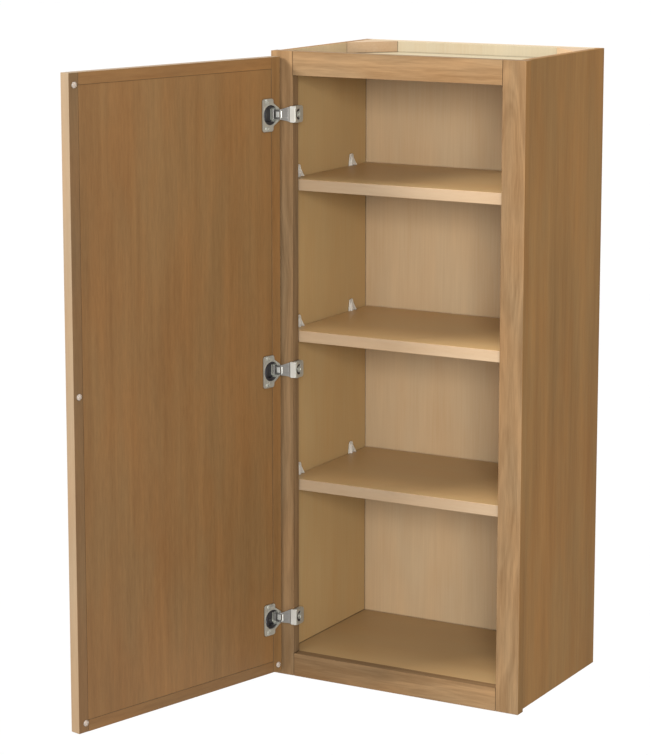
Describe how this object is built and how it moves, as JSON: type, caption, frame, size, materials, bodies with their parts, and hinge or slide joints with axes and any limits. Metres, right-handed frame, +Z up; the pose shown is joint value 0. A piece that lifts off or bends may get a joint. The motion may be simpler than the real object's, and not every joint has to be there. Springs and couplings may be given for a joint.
{
  "type": "hanging wall cabinet",
  "caption": "Tall hanging wall cabinet with a face frame, a slim-framed door on concealed cup hinges, clipped shelves and hanging rails behind the back.",
  "frame": {"origin": "centre of the back face of the top hanging rail, where the wall holds the cabinet", "axes": "+X right across the front, +Y back into the wall, +Z up"},
  "size_m": [0.5741, 0.7692, 1.0668],
  "materials": {
    "wood_side": "satin clear coat on oak-toned veneer, upright grain",
    "wood_frame": "satin clear coat on solid light hardwood",
    "wood_interior": "satin clear coat on pale veneer",
    "wood_shelf": "satin clear coat on pale veneer with a banded front edge",
    "wood_door_panel": "satin clear coat on oak-toned veneer, upright grain",
    "wood_door_frame": "satin clear coat on solid hardwood",
    "nickel_steel": "nickel-plated pressed steel",
    "clear_plastic": "milky clear moulded plastic",
    "bumper_plastic": "clear soft polyurethane",
    "damper_plastic": "dark grey moulded plastic"
  },
  "bodies": {
    "cabinet": {"side_left": "wood_side", "side_right": "wood_side", "top_panel": "wood_interior", "bottom_panel": "wood_interior", "back_panel": "wood_interior", "hanging_rail_top": "wood_interior", "hanging_rail_bottom": "wood_interior", "corner_block_left": "wood_interior", "corner_block_right": "wood_interior", "frame_stile_left": "wood_frame", "frame_stile_right": "wood_frame", "frame_rail_top": "wood_frame", "frame_rail_bottom": "wood_frame", "shelf_1": "wood_shelf", "shelf_2": "wood_shelf", "shelf_3": "wood_shelf", "shelf_clip_1_front_left": "clear_plastic", "shelf_clip_1_front_right": "clear_plastic", "shelf_clip_1_rear_left": "clear_plastic", "shelf_clip_1_rear_right": "clear_plastic", "shelf_clip_2_front_left": "clear_plastic", "shelf_clip_2_front_right": "clear_plastic", "shelf_clip_2_rear_left": "clear_plastic", "shelf_clip_2_rear_right": "clear_plastic", "shelf_clip_3_front_left": "clear_plastic", "shelf_clip_3_front_right": "clear_plastic", "shelf_clip_3_rear_left": "clear_plastic", "shelf_clip_3_rear_right": "clear_plastic", "hinge_1_arm": "nickel_steel", "hinge_1_base": "nickel_steel", "hinge_1_base_screw": "nickel_steel", "hinge_2_arm": "nickel_steel", "hinge_2_base": "nickel_steel", "hinge_2_base_screw": "nickel_steel", "hinge_3_arm": "nickel_steel", "hinge_3_base": "nickel_steel", "hinge_3_base_screw": "nickel_steel"},
    "door": {"door_panel": "wood_door_panel", "door_stile_hinge": "wood_door_frame", "door_stile_free": "wood_door_frame", "door_rail_top": "wood_door_frame", "door_rail_bottom": "wood_door_frame", "bumper_free_top": "bumper_plastic", "bumper_free_middle": "bumper_plastic", "bumper_free_bottom": "bumper_plastic", "bumper_hinge_bottom": "bumper_plastic", "hinge_1_cup": "nickel_steel", "hinge_1_pin": "nickel_steel", "hinge_1_cup_screw_upper": "nickel_steel", "hinge_1_cup_screw_lower": "nickel_steel", "hinge_2_cup": "nickel_steel", "hinge_2_pin": "nickel_steel", "hinge_2_cup_screw_upper": "nickel_steel", "hinge_2_cup_screw_lower": "nickel_steel", "hinge_3_cup": "nickel_steel", "hinge_3_pin": "nickel_steel", "hinge_3_cup_screw_upper": "nickel_steel", "hinge_3_cup_screw_lower": "nickel_steel"}
  },
  "joints": [
    {"name": "door_swing", "type": "hinge", "parent": "cabinet", "child": "door", "pos_m": [-0.221, -0.332, -0.4954], "axis": [0, 0, 1], "range_deg": [0, 104.3]}
  ]
}
